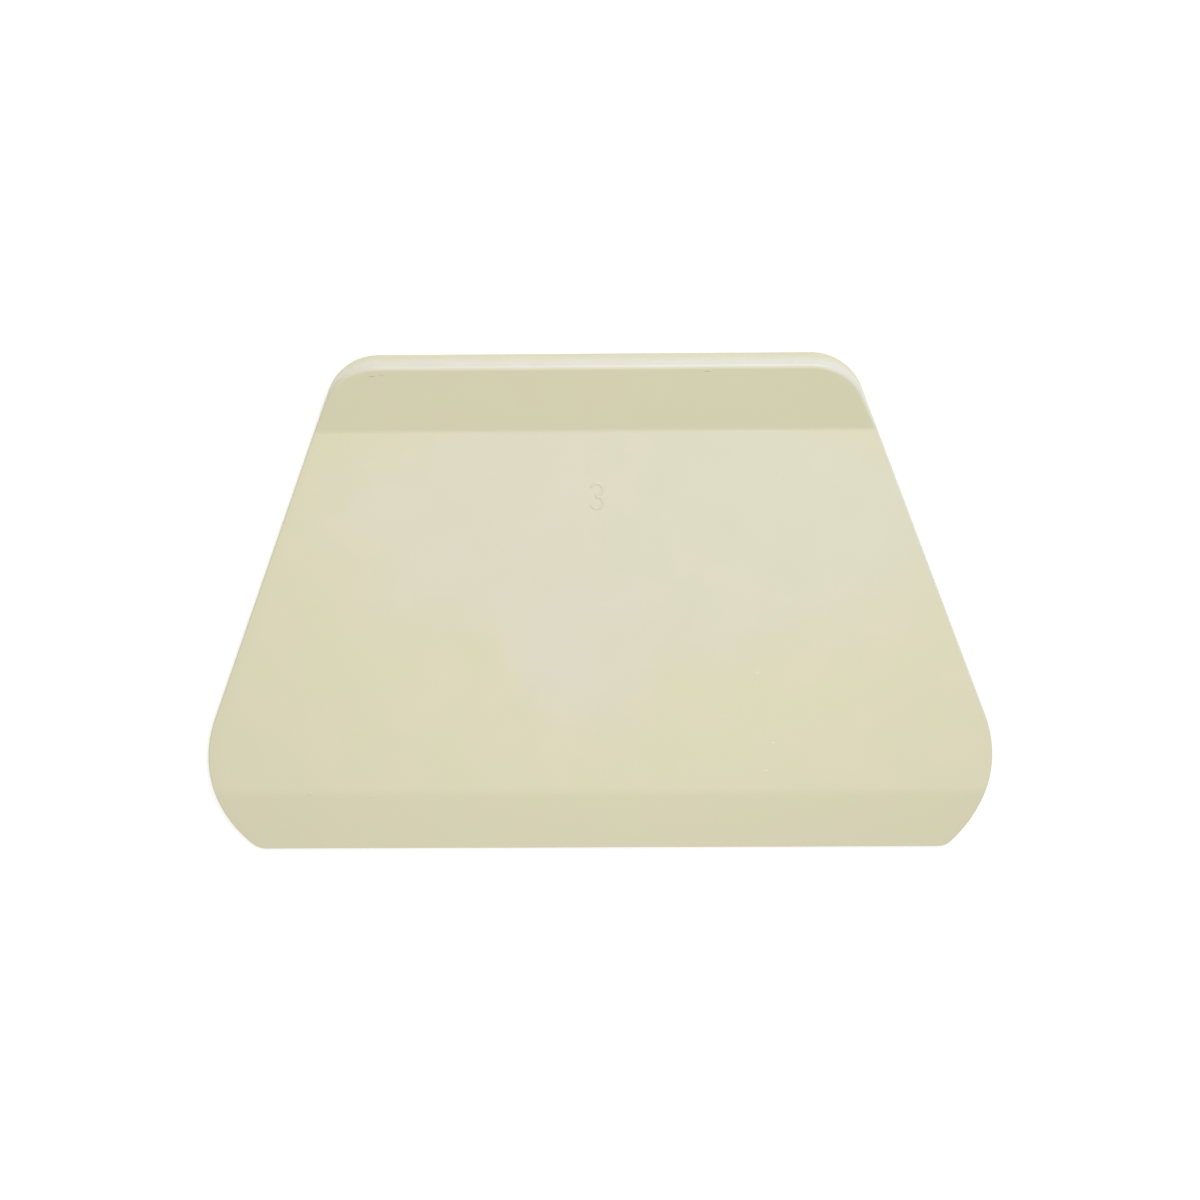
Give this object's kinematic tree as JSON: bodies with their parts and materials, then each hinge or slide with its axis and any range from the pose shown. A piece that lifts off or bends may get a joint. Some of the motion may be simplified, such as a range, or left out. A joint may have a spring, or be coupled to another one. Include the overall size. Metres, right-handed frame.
{
  "type": "dough scraper",
  "caption": "Flat trapezoid scraper plate in one moulded piece: thin bevelled scraping edge, flat blade panel, thick wedge grip along the opposite side.",
  "frame": {"origin": "centre of the bounding box in plan, on the flat back that the scraper lies on", "axes": "+X across the scraper along the scraping edge, +Y from the scraping edge to the grip, +Z out of the front face"},
  "size_m": [0.15, 0.099, 0.0066],
  "materials": {
    "cream_plastic": "satin moulded cream polypropylene"
  },
  "bodies": {
    "root": {"scraper_body": "cream_plastic"}
  },
  "joints": []
}
